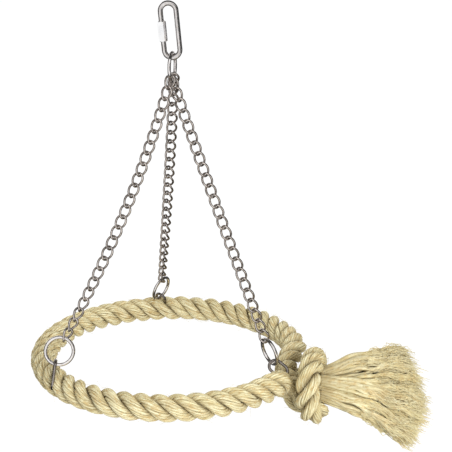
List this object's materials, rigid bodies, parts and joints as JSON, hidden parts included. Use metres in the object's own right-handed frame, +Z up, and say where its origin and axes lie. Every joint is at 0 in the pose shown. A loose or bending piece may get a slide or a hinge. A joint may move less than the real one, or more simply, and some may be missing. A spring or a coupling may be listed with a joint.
{
  "type": "bird swing",
  "caption": "Hanging swing for pet birds: a ring of thick sisal rope closed by a knot with a frayed tassel, hung on chains from a steel ring and a quick link with a sleeve nut.",
  "frame": {"origin": "inside top of the quick link's upper bow, where the hook bears", "axes": "+Z up along the hanging line, +X toward the tassel, +Y away from the viewer"},
  "size_m": [0.3553, 0.25, 0.3647],
  "materials": {
    "plated_steel": "bright nickel-plated wire",
    "chain_steel": "grey plated chain wire",
    "sisal_rope": "laid sisal rope, matt and hairy",
    "sisal_tassel": "loose brushed-out sisal yarn"
  },
  "bodies": {
    "hanger": {"quick_link": "plated_steel"},
    "nut": {"sleeve_nut": "plated_steel"},
    "ring": {"top_ring": "plated_steel"},
    "seat": {"rope_ring": "sisal_rope", "rope_end_front": "sisal_rope", "rope_end_back": "sisal_rope", "rope_knot": "sisal_rope", "rope_link_left": "chain_steel", "rope_link_right": "chain_steel", "rope_link_back": "chain_steel", "tassel_strand_1": "sisal_tassel", "tassel_strand_2": "sisal_tassel", "tassel_strand_3": "sisal_tassel", "tassel_strand_4": "sisal_tassel", "tassel_strand_5": "sisal_tassel", "tassel_strand_6": "sisal_tassel", "tassel_strand_7": "sisal_tassel", "tassel_strand_8": "sisal_tassel"},
    "left_chain": {"chain_left": "chain_steel"},
    "left_ring": {"swing_ring_left": "plated_steel"},
    "right_chain": {"chain_right": "chain_steel"},
    "right_ring": {"swing_ring_right": "plated_steel"},
    "back_chain": {"chain_back": "chain_steel"},
    "back_ring": {"swing_ring_back": "plated_steel"}
  },
  "joints": [
    {"name": "nut_slide", "type": "slide", "parent": "hanger", "child": "nut", "axis": [0.0958, 0, -0.9954], "range_m": [0, 0.0074]},
    {"name": "ring_swing", "type": "hinge", "parent": "hanger", "child": "ring", "pos_m": [0.00309, 0, -0.03635], "axis": [0, 1, 0], "range_deg": [-30, 30]},
    {"name": "seat_swing", "type": "hinge", "parent": "ring", "child": "seat", "pos_m": [0.00309, 0, -0.05045], "axis": [0.9744, -0.225, 0], "range_deg": [-35, 35]},
    {"name": "left_chain_sway", "type": "hinge", "parent": "seat", "child": "left_chain", "pos_m": [0.00139, -0.00735, -0.05939], "axis": [-0.3843, -0.2315, -0.8937], "range_deg": [-12, 12]},
    {"name": "left_ring_turn", "type": "hinge", "parent": "left_chain", "child": "left_ring", "pos_m": [-0.0965, -0.06632, -0.28706], "axis": [-0.3843, -0.2315, -0.8937], "range_deg": [-15, 15]},
    {"name": "right_chain_sway", "type": "hinge", "parent": "seat", "child": "right_chain", "pos_m": [0.00318, 0.00039, -0.06214], "axis": [0.3328, -0.1851, -0.9247], "range_deg": [-12, 12]},
    {"name": "right_ring_turn", "type": "hinge", "parent": "right_chain", "child": "right_ring", "pos_m": [0.08818, -0.04689, -0.29834], "axis": [0.3328, -0.1851, -0.9247], "range_deg": [-15, 15]},
    {"name": "back_chain_sway", "type": "hinge", "parent": "seat", "child": "back_chain", "pos_m": [0.00468, 0.0069, -0.05977], "axis": [-0.0554, 0.3968, -0.9162], "range_deg": [-12, 12]},
    {"name": "back_ring_turn", "type": "hinge", "parent": "back_chain", "child": "back_ring", "pos_m": [-0.00946, 0.10812, -0.29352], "axis": [-0.0554, 0.3968, -0.9162], "range_deg": [-15, 15]}
  ]
}
